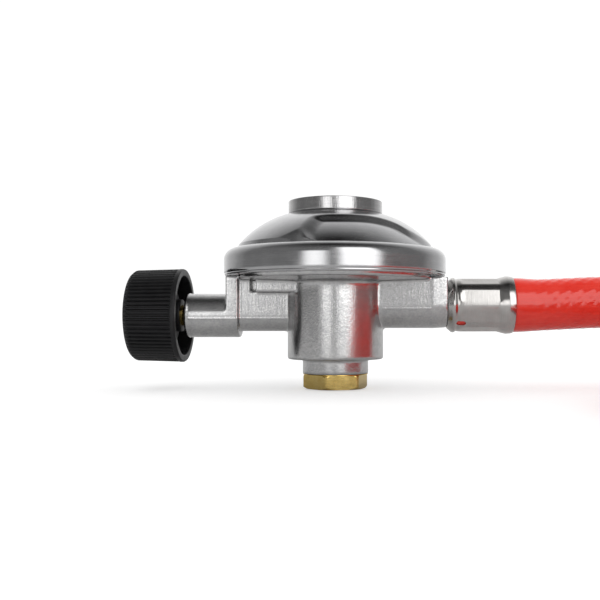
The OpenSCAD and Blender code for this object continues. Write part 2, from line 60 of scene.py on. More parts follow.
camera_data = bpy.data.cameras.new("camera")
camera_data.lens = 48
camera_data.sensor_width = 36
camera_data.shift_x = SHIFT_RIGHT
camera_data.shift_y = SHIFT_UP
camera_data.clip_start = 0.01
camera_data.clip_end = 60
camera = bpy.data.objects.new("camera", camera_data)
camera.location = (CAMERA_X, -CAMERA_BACK, CAMERA_Z)
camera.rotation_euler = (math.radians(90), 0, 0)
bpy.context.scene.collection.objects.link(camera)
bpy.context.scene.camera = camera
bpy.context.scene.view_settings.view_transform = "Standard"

# ---------------------------------------------------------------- meshes


def upright(points):
    return points


def along_x(start):
    """Lays a shape drawn along +Z onto the axis along +X that starts at this point."""
    return lambda p: np.stack([p[..., 2], p[..., 1], -p[..., 0]], -1) + np.array(start)


def along_minus_x(start):
    return lambda p: np.stack([-p[..., 2], p[..., 1], p[..., 0]], -1) + np.array(start)


def along_minus_y(start):
    return lambda p: np.stack([p[..., 0], -p[..., 2], p[..., 1]], -1) + np.array(start)


def finish_mesh(name, mesh, crease):
    """The object of a closed mesh, smooth but for edges sharper than crease degrees."""
    work = bmesh.new()
    work.from_mesh(mesh)
    bmesh.ops.remove_doubles(work, verts=work.verts, dist=1e-7)
    bmesh.ops.dissolve_degenerate(work, edges=work.edges, dist=1e-8)
    bmesh.ops.recalc_face_normals(work, faces=work.faces)
    work.to_mesh(mesh)
    work.free()
    mesh.shade_smooth()
    mesh.set_sharp_from_angle(angle=math.radians(crease))
    obj = bpy.data.objects.new(name, mesh)
    bpy.context.scene.collection.objects.link(obj)
    return obj


def weigh_normals(obj):
    """Keeps flat faces flat to the light next to their rounded edges."""
    weigh = obj.modifiers.new("normals", "WEIGHTED_NORMAL")
    weigh.keep_sharp = True


def mesh_object(name, points, faces, crease=35):
    mesh = bpy.data.meshes.new(name)
    mesh.from_pydata((np.asarray(points, float).reshape(-1, 3) * MM).tolist(), [], faces)
    return finish_mesh(name, mesh, crease)


def lattice(rows, cols, loop=True):
    """Quads between rows of points. Each row closes on itself, and so do the rows if loop is set."""
    r = np.arange(rows if loop else rows - 1)[:, None]
    c = np.arange(cols)[None, :]
    below, right = (r + 1) % rows, (c + 1) % cols
    quads = np.stack([r * cols + c, r * cols + right, below * cols + right, below * cols + c], -1)
    return quads.reshape(-1, 4).tolist()


def rounded(corners, step=1.2, turn=15):
    """A closed outline through corners (radius, height, rounding), each rounded by an arc of that
    radius in steps of about turn degrees, with no straight stretch longer than step."""
    count, outline = len(corners), []
    for i, (x, y, radius) in enumerate(corners):
        here = np.array((x, y), float)
        before, after = np.array(corners[i - 1][:2], float), np.array(corners[(i + 1) % count][:2], float)
        if radius <= 0:
            outline.append(here)
            continue
        u = (before - here) / np.linalg.norm(before - here)
        v = (after - here) / np.linalg.norm(after - here)
        half = math.acos(np.clip(u @ v, -1, 1)) / 2
        centre = here + (u + v) / np.linalg.norm(u + v) * radius / math.sin(half)
        start, end = here + u * radius / math.tan(half), here + v * radius / math.tan(half)
        a0, a1 = (math.atan2(*(p - centre)[::-1]) for p in (start, end))
        swing = (a1 - a0 + math.pi) % (2 * math.pi) - math.pi
        steps = max(2, round(abs(math.degrees(swing)) / turn))
        outline += [
            centre + radius * np.array((math.cos(a0 + swing * k / steps), math.sin(a0 + swing * k / steps)))
            for k in range(steps + 1)
        ]
    return split(np.array(outline), step)


def split(outline, step):
    """A closed outline again, with no stretch longer than step."""
    out = []
    for here, after in zip(outline, np.roll(outline, -1, axis=0)):
        pieces = max(1, math.ceil(np.linalg.norm(after - here) / step))
        out += [here + (after - here) * k / pieces for k in range(pieces)]
    return np.array(out)


def turned(name, outline, cols=128, place=upright, reshape=None, crease=35):
    """A closed outline of radius and height swept about an axis. reshape may change the radius and
    the height of each point, given its angle."""
    angle = np.repeat(np.linspace(0, 2 * math.pi, cols, endpoint=False)[None], len(outline), axis=0)
    radius, height = (np.repeat(outline[:, k : k + 1], cols, axis=1) for k in (0, 1))
    if reshape:
        radius, height = reshape(radius, height, angle)
    points = np.stack([radius * np.cos(angle), radius * np.sin(angle), height], -1)
    obj = mesh_object(name, place(points), lattice(len(outline), cols), crease)
    weigh_normals(obj)
    return obj


def smooth_step(x, low, high):
    t = np.clip((x - low) / (high - low), 0, 1)
    return t * t * (3 - 2 * t)


def ride_as(obj, body, slot, *nodes):
    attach(obj, body)
    if nodes:
        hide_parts(*nodes)
    return obj


# ---------------------------------------------------------------- materials


def add(tree, kind, settings=None, **inputs):
    """A node whose inputs are set to numbers or linked to other nodes' outputs. In an input's name a
    double underscore stands for a space."""
    made = tree.nodes.new(kind)
    for key, value in (settings or {}).items():
        setattr(made, key, value)
    for key, value in inputs.items():
        numbered = key[0] == "i" and key[1:].isdigit()
        socket = made.inputs[int(key[1:]) if numbered else key.replace("__", " ")]
        if isinstance(value, bpy.types.NodeSocket):
            tree.links.new(value, socket)
        else:
            socket.default_value = value
    return made


def sums(tree, operation, a, b=0.0, c=0.0):
    return add(tree, "ShaderNodeMath", {"operation": operation}, i0=a, i1=b, i2=c).outputs[0]


def new_material(name, **sockets):
    """A material whose shader has these values, in sockets named with underscores for spaces."""
    material = bpy.data.materials.new(name)
    material.use_nodes = True
    shader = material.node_tree.nodes["Principled BSDF"]
    for key, value in sockets.items():
        shader.inputs[key.replace("_", " ")].default_value = value
    return material, material.node_tree, shader


def place_in(tree, stretch=(1, 1, 1)):
    """The place in the object, in millimetres, stretched along each axis."""
    where = add(tree, "ShaderNodeTexCoord").outputs["Object"]
    scale = [1000 * s for s in stretch]
    return add(tree, "ShaderNodeMapping", Vector=where, Scale=scale).outputs["Vector"]


def noise(tree, vector, scale, detail=3.0, roughness=0.5, distortion=0.0):
    """Fractal noise of about scale grains per millimetre."""
    made = add(tree, "ShaderNodeTexNoise", Vector=vector, Scale=scale, Detail=detail)
    made.inputs["Roughness"].default_value = roughness
    made.inputs["Distortion"].default_value = distortion
    return made.outputs[0]


def spread(tree, value, low, high, start=0.3, end=0.7):
    made = add(tree, "ShaderNodeMapRange", Value=value)
    for key, number in (("From Min", start), ("From Max", end), ("To Min", low), ("To Max", high)):
        made.inputs[key].default_value = number
    return made.outputs[0]


def ramp(tree, value, *stops):
    """A colour for a value from 0 to 1, through stops (place, colour or grey)."""
    made = add(tree, "ShaderNodeValToRGB", Fac=value)
    stretch = made.color_ramp.elements
    while len(stretch) < len(stops):
        stretch.new(0.5)
    for element, (at, colour) in zip(stretch, stops):
        element.position = at
    for element, (at, colour) in zip(stretch, stops):
        element.color = (*colour, 1) if isinstance(colour, tuple) else (colour, colour, colour, 1)
    return made.outputs["Color"]


def bump(tree, height, depth, normal=None, strength=1.0):
    """A bump of this depth in millimetres."""
    made = add(tree, "ShaderNodeBump", Height=height, Distance=depth * MM, Strength=strength)
    if normal is not None:
        tree.links.new(normal, made.inputs["Normal"])
    return made.outputs["Normal"]


def rings_about_z(tree, stretch_r, stretch_z, round_about=3.0):
    """A place for noise that runs in rings about Z: fine across the rings and long along them."""
    x, y, z = add(tree, "ShaderNodeSeparateXYZ", Vector=place_in(tree)).outputs
    squares = sums(tree, "ADD", sums(tree, "MULTIPLY", x, x), sums(tree, "MULTIPLY", y, y))
    radius = sums(tree, "SQRT", squares)
    across = sums(tree, "MULTIPLY", radius, stretch_r)
    up = sums(tree, "MULTIPLY", z, stretch_z)
    side = sums(tree, "MULTIPLY", sums(tree, "DIVIDE", x, sums(tree, "ADD", radius, 0.001)), round_about)
    return add(tree, "ShaderNodeCombineXYZ", X=across, Y=up, Z=side).outputs[0]


def cast_alloy():
    """Die-cast alloy, lightly blasted: mottled like orange peel, with faint streaks down its sides."""
    material, tree, shader = new_material("cast_alloy", Metallic=1.0)
    patches = noise(tree, place_in(tree), 0.45, 4, 0.6)
    grain = noise(tree, place_in(tree), 1.7, 4, 0.62)
    streaks = noise(tree, place_in(tree, (1.3, 1.3, 0.12)), 1.0, 3, 0.6)
    tone = sums(tree, "ADD", sums(tree, "MULTIPLY", patches, 0.4), sums(tree, "MULTIPLY", grain, 0.6))
    colour = ramp(tree, tone, (0.38, (0.47, 0.47, 0.475)), (0.62, (0.62, 0.615, 0.61)))
    tree.links.new(colour, shader.inputs["Base Color"])
    tree.links.new(spread(tree, tone, 0.25, 0.17), shader.inputs["Roughness"])
    tree.links.new(bump(tree, grain, 0.03, bump(tree, streaks, 0.03)), shader.inputs["Normal"])
    return material


def spun_metal():
    """Polished pressed aluminium with faint rings and a few dull patches."""
    material, tree, shader = new_material("spun_metal", Metallic=1.0)
    rings = noise(tree, rings_about_z(tree, 3.0, 3.0, 1.2), 1.6, 4, 0.65)
    patches = noise(tree, place_in(tree), 0.16, 4, 0.6)
    tone = sums(tree, "ADD", sums(tree, "MULTIPLY", rings, 0.45), sums(tree, "MULTIPLY", patches, 0.55))
    colour = ramp(tree, tone, (0.36, (0.46, 0.46, 0.47)), (0.64, (0.56, 0.56, 0.565)))
    tree.links.new(colour, shader.inputs["Base Color"])
    tree.links.new(spread(tree, tone, 0.13, 0.22), shader.inputs["Roughness"])
    tree.links.new(bump(tree, rings, 0.006), shader.inputs["Normal"])
    return material


def turned_metal():
    """Aluminium fresh from the lathe: fine rings on the face, streaks up the side."""
    material, tree, shader = new_material("turned_metal", Metallic=1.0)
    rings = noise(tree, rings_about_z(tree, 7.0, 2.5, 2.0), 1.0, 5, 0.7)
    streaks = noise(tree, place_in(tree, (1.6, 1.6, 0.12)), 1.0, 4, 0.7)
    tone = sums(tree, "ADD", sums(tree, "MULTIPLY", rings, 0.5), sums(tree, "MULTIPLY", streaks, 0.5))
    colour = ramp(tree, tone, (0.34, (0.44, 0.435, 0.44)), (0.66, (0.58, 0.575, 0.575)))
    tree.links.new(colour, shader.inputs["Base Color"])
    tree.links.new(spread(tree, tone, 0.11, 0.22), shader.inputs["Roughness"])
    tree.links.new(bump(tree, rings, 0.012, bump(tree, streaks, 0.035)), shader.inputs["Normal"])
    return material


def stainless():
    """Drawn stainless sheet, bright, with fine lines around it."""
    material, tree, shader = new_material("stainless", Metallic=1.0)
    lines = noise(tree, place_in(tree, (6.0, 0.25, 0.25)), 1.0, 4, 0.65)
    patches = noise(tree, place_in(tree), 0.35, 3, 0.6)
    tone = sums(tree, "ADD", sums(tree, "MULTIPLY", lines, 0.5), sums(tree, "MULTIPLY", patches, 0.5))
    colour = ramp(tree, tone, (0.36, (0.47, 0.455, 0.44)), (0.64, (0.56, 0.545, 0.53)))
    tree.links.new(colour, shader.inputs["Base Color"])
    tree.links.new(spread(tree, tone, 0.12, 0.22), shader.inputs["Roughness"])
    tree.links.new(bump(tree, lines, 0.012), shader.inputs["Normal"])
    return material


def brass():
    """Machined brass with faint tool lines and slightly darker patches."""
    material, tree, shader = new_material("brass", Metallic=1.0)
    lines = noise(tree, place_in(tree, (0.3, 0.3, 5.0)), 1.0, 3, 0.5)
    patches = noise(tree, place_in(tree), 0.5, 4, 0.6)
    tone = sums(tree, "ADD", sums(tree, "MULTIPLY", lines, 0.3), sums(tree, "MULTIPLY", patches, 0.7))
    colour = ramp(tree, tone, (0.34, (0.56, 0.39, 0.12)), (0.66, (0.72, 0.54, 0.20)))
    tree.links.new(colour, shader.inputs["Base Color"])
    tree.links.new(spread(tree, tone, 0.14, 0.24), shader.inputs["Roughness"])
    tree.links.new(bump(tree, patches, 0.03, bump(tree, lines, 0.006)), shader.inputs["Normal"])
    return material


def plated_steel():
    material, tree, shader = new_material("plated_steel", Metallic=1.0)
    patches = noise(tree, place_in(tree), 0.8, 4, 0.6)
    colour = ramp(tree, patches, (0.35, (0.44, 0.44, 0.42)), (0.65, (0.56, 0.56, 0.54)))
    tree.links.new(colour, shader.inputs["Base Color"])
    tree.links.new(spread(tree, patches, 0.22, 0.36), shader.inputs["Roughness"])
    tree.links.new(bump(tree, patches, 0.01), shader.inputs["Normal"])
    return material


def spring_steel():
    material, tree, shader = new_material("spring_steel", Metallic=1.0)
    drawn = noise(tree, place_in(tree), 2.5, 4, 0.6)
    colour = ramp(tree, drawn, (0.35, (0.22, 0.22, 0.22)), (0.65, (0.34, 0.34, 0.35)))
    tree.links.new(colour, shader.inputs["Base Color"])
    tree.links.new(spread(tree, drawn, 0.3, 0.45), shader.inputs["Roughness"])
    tree.links.new(bump(tree, drawn, 0.01), shader.inputs["Normal"])
    return material


def sintered_bronze():
    """Bronze grains pressed together, each darker towards its edge: painted shade in the gaps between the
    grains.
    """
    material, tree, shader = new_material("sintered_bronze", Metallic=1.0)
    grains = add(tree, "ShaderNodeTexVoronoi", Vector=place_in(tree), Scale=4.0).outputs["Distance"]
    # The colour darkens from each grain's middle to its edge: painted shade in the gaps between the grains.
    colour = ramp(tree, grains, (0.0, (0.50, 0.34, 0.15)), (0.7, (0.16, 0.09, 0.04)))
    tree.links.new(colour, shader.inputs["Base Color"])
    tree.links.new(spread(tree, grains, 0.35, 0.7, 0.0, 0.7), shader.inputs["Roughness"])
    tree.links.new(bump(tree, grains, -0.08), shader.inputs["Normal"])
    return material


def black_rubber(name, grain_size):
    material, tree, shader = new_material(name, Metallic=0.0, Specular_IOR_Level=0.4)
    grain = noise(tree, place_in(tree), grain_size, 4, 0.6)
    colour = ramp(tree, grain, (0.3, (0.010, 0.010, 0.010)), (0.7, (0.022, 0.022, 0.022)))
    tree.links.new(colour, shader.inputs["Base Color"])
    tree.links.new(spread(tree, grain, 0.5, 0.7), shader.inputs["Roughness"])
    tree.links.new(bump(tree, grain, 0.02), shader.inputs["Normal"])
    return material


def black_plastic():
    """Moulded black plastic with a fine matt grain, greyer where it is rubbed."""
    material, tree, shader = new_material("black_plastic", Metallic=0.0, Specular_IOR_Level=0.30)
    grain = noise(tree, place_in(tree), 6.0, 3, 0.6)
    rubbed = noise(tree, place_in(tree), 0.4, 4, 0.6)
    tone = sums(tree, "ADD", sums(tree, "MULTIPLY", grain, 0.4), sums(tree, "MULTIPLY", rubbed, 0.6))
    colour = ramp(tree, tone, (0.35, (0.007, 0.007, 0.008)), (0.65, (0.014, 0.014, 0.015)))
    tree.links.new(colour, shader.inputs["Base Color"])
    tree.links.new(spread(tree, tone, 0.34, 0.50), shader.inputs["Roughness"])
    tree.links.new(bump(tree, grain, 0.02), shader.inputs["Normal"])
    return material


def red_hose():
    """Glossy red rubber over a textile braid, which shows faintly through."""
    material, tree, shader = new_material("red_hose", Metallic=0.0, Specular_IOR_Level=0.5)
    lengthwise = noise(tree, place_in(tree, (0.10, 1.6, 1.6)), 1.0, 4, 0.6)
    patches = noise(tree, place_in(tree), 0.25, 4, 0.6)
    tone = sums(tree, "ADD", sums(tree, "MULTIPLY", lengthwise, 0.5), sums(tree, "MULTIPLY", patches, 0.5))
    colour = ramp(tree, tone, (0.34, (0.78, 0.036, 0.024)), (0.66, (0.86, 0.062, 0.042)))
    tree.links.new(colour, shader.inputs["Base Color"])
    tree.links.new(spread(tree, tone, 0.06, 0.13), shader.inputs["Roughness"])
    tree.links.new(bump(tree, lengthwise, 0.012), shader.inputs["Normal"])
    return material


MATERIALS = {
    "cast_alloy": cast_alloy(),
    "bonnet_metal": spun_metal(),
    "machined_cap": turned_metal(),
    "plated_steel": plated_steel(),
    "spring_steel": spring_steel(),
    "stainless": stainless(),
    "brass": brass(),
    "sintered_bronze": sintered_bronze(),
    "diaphragm_rubber": black_rubber("diaphragm_rubber", 2.0),
    "seal_rubber": black_rubber("seal_rubber", 4.0),
    "knob_plastic": black_plastic(),
    "hose_red": red_hose(),
}


def paint(obj, slot):
    obj.data.materials.clear()
    obj.data.materials.append(MATERIALS[slot])


for part in frame["record"]["subparts"]:
    paint(frame["nodes"][part["node"]], part["material_slot"])

# ---------------------------------------------------------------- hose

HOSE_R = 7.6
COIL_CENTRE = np.array((155.0, -75.0))
RUN_ROUTE = [
    (49, 0, 24.7), (53.25, 0, 24.7), (60, 0, 24.7), (69, 0, 25.1), (79, 0, 25.5), (91, 0, 25.4),
    (106, 0, 24.5), (123, 0, 22.7), (140, 0, 21), (148, 0, 20.5), (155, 0, 20.5),
]
END_ROUTE = [
    (237.5, -75, 7.5), (237.5, -80, 7.5), (237.5, -86, 8.1), (237.5, -93, 9.8), (237.5, -100, 11.3),
    (237.5, -105, 11.3), (237.5, -109, 11.3),
]
BRAID_PITCH = 56.0          # the braid's strands wind once round the hose in this length
BRAID_STRANDS = 16
BRAID_RELIEF = 0.06
COIL_TURN = 810             # degrees, clockwise from the point where the hose arrives
FAR_END = (237.5, -105, 11.3)


def through(points, per_stretch):
    """A smooth line through points, with per_stretch steps between each two of them."""
    p = np.array(points, float)
    p = np.vstack([2 * p[0] - p[1], p, 2 * p[-1] - p[-2]])
    out = []
    for a, b, c, d in zip(p, p[1:], p[2:], p[3:]):
        for t in np.arange(per_stretch) / per_stretch:
            bend = (2 * a - 5 * b + 4 * c - d) * t**2
            twist = (3 * b - a - 3 * c + d) * t**3
            out.append(0.5 * (2 * b + (c - a) * t + bend + twist))
    return np.vstack([out, p[-2]])


def coil_line():
    """The turns: one on top, then two lying beside each other, each a hose's width apart."""
    out = []
    for turn in range(3, COIL_TURN, 3):
        inner = 75 - 7.5 * smooth_step(turn, 185, 225)
        radius = inner + 15 * smooth_step(turn, 500, 560)
        hump = 2.2 * smooth_step(turn, 110, 160) * (1 - smooth_step(turn, 180, 215))
        height = 20.5 + hump - 13 * smooth_step(turn, 205, 260)
        a = math.radians(turn)
        out.append((*(COIL_CENTRE + radius * np.array((math.sin(a), math.cos(a)))), height))
    return np.array(out)


def spaced(line, steps):
    """Points along a line at these distances from its start."""
    along = np.concatenate([[0], np.cumsum(np.linalg.norm(np.diff(line, axis=0), axis=1))])
    return np.stack([np.interp(steps * along[-1], along, line[:, k]) for k in range(3)], -1), along[-1]


def make_hose():
    """The hose as one tube. Its braid shows as low ridges that wind round it."""
    sides = 80
    rough = np.vstack([through(RUN_ROUTE, 8)[:-1], coil_line(), through(END_ROUTE, 8)])
    length = spaced(rough, np.array([0.0]))[1]
    near, near_step, far_step = 110.0, 0.45, 1.6
    marks = np.concatenate([np.arange(0, near, near_step), np.arange(near, length, far_step), [length]])
    line, length = spaced(rough, marks / length)
    tangent = np.gradient(line, axis=0)
    tangent /= np.linalg.norm(tangent, axis=1)[:, None]
    side = np.cross((0, 0, 1), tangent)
    side /= np.linalg.norm(side, axis=1)[:, None]
    lift = np.cross(tangent, side)
    angle = np.linspace(0, 2 * math.pi, sides, endpoint=False)[None, :]
    s = marks[:, None]
    wind = 2 * math.pi * s / BRAID_PITCH
    ridges = np.cos(BRAID_STRANDS * (angle + wind)) + 0.35 * np.cos(BRAID_STRANDS * (angle - wind))
    fade = smooth_step(s, 4, 16) * (1 - smooth_step(s, length - 22, length - 9))
    swell = 0.45 * (np.exp(-(((s - 4.5) / 5.0) ** 2)) + np.exp(-(((length - s - 4.5) / 5.0) ** 2)))
    slimmer = 0.13 * smooth_step(s, 60, 120)
    radius = HOSE_R - slimmer + BRAID_RELIEF * ridges * fade + swell
    radius = np.minimum(radius, np.where(np.minimum(s, length - s) < 3.4, 7.3, 9))
    points = line[:, None] + radius[..., None] * (
        np.cos(angle)[..., None] * side[:, None] + np.sin(angle)[..., None] * lift[:, None]
    )
    rings = len(marks)
    faces = lattice(rings, sides, loop=False)
    faces += [list(range(sides)), list(range(rings * sides - 1, (rings - 1) * sides - 1, -1))]
    hose = mesh_object("hose", points, faces, 60)
    ride_as(hose, "regulator", "hose_red", "hose_run", "hose_coil", "hose_end_run")
    paint(hose, "hose_red")
    return hose, line * MM, length * MM


hose, hose_line, hose_length = make_hose()

# ---------------------------------------------------------------- ferrules

FERRULE_LEN = 19.5
FERRULE_START = (33.05, 0, 24.7)
CRIMP = (4.2, 15.0)
FLAT_R = 7.66


def crimped(radius, height, angle):
    """Presses eight flats into a sleeve between the two ends of the crimp."""
    eighth = math.pi / 4
    off_middle = (angle - math.radians(3)) % eighth - eighth / 2
    flat = FLAT_R / np.cos(off_middle)
    pressed = smooth_step(height, CRIMP[0] - 0.4, CRIMP[0] + 0.1) * (
        1 - smooth_step(height, CRIMP[1] - 0.1, CRIMP[1] + 0.5)
    )
    return np.where(radius > 7.5, radius + (np.minimum(flat, radius) - radius) * pressed, radius), height


def make_ferrule(name, place):
    outline = rounded([
        (4.97, 0.0, 0), (6.9, 0.0, 0.3), (8.05, 1.35, 0.5), (8.2, 2.0, 0.35), (7.72, 2.7, 0.4),
        (7.85, 3.3, 0.3), (7.9, 4.1, 0), (7.88, 14.9, 0.6), (8.3, 16.3, 1.0), (8.6, 17.6, 1.2),
        (8.5, 18.8, 0.8), (8.35, 19.5, 0.12), (8.1, 19.5, 0.12), (8.05, 19.0, 0), (7.4, 17.6, 0),
        (7.35, 0.7, 0), (4.97, 0.7, 0),
    ], step=0.5)
    return turned(name, outline, 192, place, crimped, crease=32)


def boolean(obj, cutter, operation="DIFFERENCE"):
    """Cuts obj with cutter for good, and removes the cutter."""
    cut = obj.modifiers.new("cut", "BOOLEAN")
    cut.operation = operation
    cut.solver = "MANIFOLD"
    cut.object = cutter
    bpy.context.view_layer.update()
    evaluated = obj.evaluated_get(bpy.context.evaluated_depsgraph_get())
    mesh = bpy.data.meshes.new_from_object(evaluated)
    obj.modifiers.remove(cut)
    old = obj.data
    obj.data = mesh
    bpy.data.meshes.remove(old)
    bpy.data.objects.remove(cutter)


def sight_cutter():
    """A stubby rod with round ends, across the lower front of the ferrule."""
    half_len, half_w, sides = 1.4, 0.8, 16
    ring = []
    for k in range(sides):
        a = 2 * math.pi * (k + 0.5) / sides
        end_x = math.copysign(half_len - half_w, math.cos(a))
        ring.append((end_x + half_w * math.cos(a), half_w * math.sin(a)))
    out, down = np.array((0, -0.72, -0.69)), np.array((0, 0.69, -0.72))
    out, down = out / np.linalg.norm(out), down / np.linalg.norm(down)
    middle = np.array(FERRULE_START) + np.array((3.8, 0, 0))
    points = [
        middle + out * reach + np.array((1, 0, 0)) * x + down * y for reach in (6.5, 9.5) for x, y in ring
    ]
    faces = lattice(2, sides, loop=False) + [list(range(sides)), list(range(2 * sides - 1, sides - 1, -1))]
    return mesh_object("sight_cutter", points, faces)


ferrule = make_ferrule("ferrule_sleeve", along_x(FERRULE_START))
ferrule.modifiers.clear()
boolean(ferrule, sight_cutter())
ferrule.data.set_sharp_from_angle(angle=math.radians(32))
weigh_normals(ferrule)
paint(ferrule, "stainless")
ride_as(ferrule, "regulator", "stainless", "ferrule")


def facing_hose(place):
    return lambda p: place(p * np.array((1, 1, -1)) + np.array((0, 0, FERRULE_LEN)))


far_ferrule = make_ferrule("far_ferrule_sleeve", facing_hose(along_minus_y(FAR_END)))
paint(far_ferrule, "stainless")
ride_as(far_ferrule, "regulator", "stainless", "far_ferrule")

# ---------------------------------------------------------------- hexagon parts


def hexagon_r(angle, flats, turn=0.0):
    sixth = math.pi / 3
    return flats / 2 / np.cos((angle - turn) % sixth - sixth / 2)


def threaded(radius, height, angle, crest_r, start, end, pitch, depth):
    """Winds a V thread into the bore that is drawn as crest_r between two heights."""
    phase = (height / pitch - angle / (2 * math.pi)) % 1
    groove = depth * (1 - np.abs(2 * phase - 1))
    within = smooth_step(height, start, start + pitch) * (1 - smooth_step(height, end - pitch, end))
    return np.where(np.abs(radius - crest_r) < 0.02, radius + groove * within, radius)


def make_inlet_connector():
    flats, turn, top = 17.0, math.radians(15), 4.05
    corner = flats / math.sqrt(3)
    crest, pitch = 5.2, 25.4 / 28

    def shape(radius, height, angle):
        chamfer = corner - 1.0 + 1.7 * np.clip(height, 0, 0.6)
        upper = corner - 0.12 - 1.2 * np.clip(height - (top - 0.25), 0, 1)
        hexed = np.minimum(np.minimum(hexagon_r(angle, flats, turn), chamfer), upper)
        radius = np.where((height <= top + 0.001) & (radius > 7.96), np.minimum(hexed, radius), radius)
        return threaded(radius, height, angle, crest, 0.4, 8.6, pitch, 0.42), height

    outline = rounded([
        (5.65, 0.0, 0), (7.5, 0.0, 0), (corner, 0.0, 0), (corner, 0.35, 0), (corner, top, 0),
        (9.0, top, 0), (9.65, top, 0), (9.63, 4.36, 0.04), (9.5, 4.45, 0.04), (7.97, 4.45, 0),
        (7.95, 13, 0.2), (1.5, 13, 0), (1.5, 11.8, 0), (4.0, 11.8, 0), (4.0, 10.4, 0), (4.8, 10.4, 0),
        (4.8, 9.0, 0), (crest, 9.0, 0), (crest, 0.4, 0),
    ], step=0.16)
    return turned("connector", outline, 180, upright, shape, crease=30)


def make_swivel_nut():
    flats, start, end = 19.05, 23.5, 44.5
    corner = flats / math.sqrt(3)
    crest, pitch = 7.2, 25.4 / 18

    def shape(radius, height, angle):
        near = corner - 1.4 + 1.6 * np.clip(height - start, 0, 0.9)
        far = corner - 1.1 + 1.7 * np.clip(end - height, 0, 0.6)
        hexed = np.minimum(np.minimum(hexagon_r(angle, flats), near), far)
        radius = np.where(radius > 9.0, np.minimum(hexed, radius), radius)
        return threaded(radius, height, angle, crest, 33, end, pitch, 0.6), height

    outline = rounded([
        (4.95, start, 0.2), (9.4, start, 0), (corner, start, 0), (corner, start + 0.6, 0),
        (corner, end - 0.5, 0), (corner, end, 0), (9.4, end, 0), (7.9, end, 0), (crest, end - 0.7, 0),
        (crest, 32.5, 0), (7.9, 32.5, 0), (7.9, 26.0, 0), (4.95, 26.0, 0),
    ], step=0.25)
    return turned("flare_nut", outline, 180, along_minus_y(FAR_END), shape, crease=30)


connector = make_inlet_connector()
paint(connector, "brass")
ride_as(connector, "regulator", "brass", "inlet_connector")
nut = make_swivel_nut()
paint(nut, "brass")
ride_as(nut, "outlet_nut", "brass", "swivel_nut")

# ---------------------------------------------------------------- bonnet

DOME_CENTRE = (7.0, 24.4)
DOME_R = 27.9
MOAT_R = 29.2
MOAT_Z = 39.6
CAP_SEAT_Z = 51.2
SHOULDER = (29.6, 37.8, 3.2)
POCKETS = 2
POCKET_DEPTH = 1.45
# Curves of one pocket, as degrees from the front against radius
POCKET_EDGE = [
    (-30, 20.0), (-14, 20.0), (2, 20.0), (15, 19.9), (28, 20.1), (40, 21.2), (49, 22.9), (56, 25.3),
    (65, 27.1), (78, 29.2), (90, 32),
]
POCKET_END = [
    (17, -6), (19.6, -11), (20.8, -15), (22.9, -17.3),
    (25, -18), (26.4, -17.5), (27.6, -15.8), (29, -13),
]
# Left of the pocket's end the land turns down to the rim early
LAND_EDGE = [
    (-62, 32), (-50, 31), (-41, 30.3), (-33, 29.7),
    (-26, 28.5), (-21, 27.1), (-18, 26.1), (-10, 24.5),
]


def on_curve(curve, at):
    """Value of a curve of pairs at these places."""
    fine = through([(x, y, 0) for x, y in curve], 6)
    return np.interp(at, fine[:, 0], fine[:, 1])


def dome_height(radius, dome_r=DOME_R):
    return DOME_CENTRE[1] + np.sqrt(np.maximum(dome_r**2 - (radius - DOME_CENTRE[0]) ** 2, 0))


def pocket_depth(radius, degrees):
    """Depth of one pocket, and of the land's early edge beside its blunt end."""
    past_end = np.radians(degrees - on_curve(POCKET_END, radius)) * radius
    past_edge = (radius - on_curve(POCKET_EDGE, degrees)) * 0.93
    pocket = smooth_step(past_end, -0.8, 4.2) * smooth_step(past_edge, -0.6, 1.4)
    past_land = radius - on_curve(LAND_EDGE, degrees)
    early = smooth_step(past_land, -1.0, 2.6) * smooth_step(-past_end, -0.4, 3.4)
    return np.where(degrees < -65, 0, pocket * POCKET_DEPTH + early * 1.7)


def bonnet_depth(radius, angle):
    """How far the dome's surface lies below its high land."""
    depth = np.zeros_like(radius)
    for k in range(POCKETS):
        degrees = (np.degrees(angle) + 90 - 360 * k / POCKETS + 180) % 360 - 180
        depth = np.maximum(depth, pocket_depth(radius, degrees))
    return depth


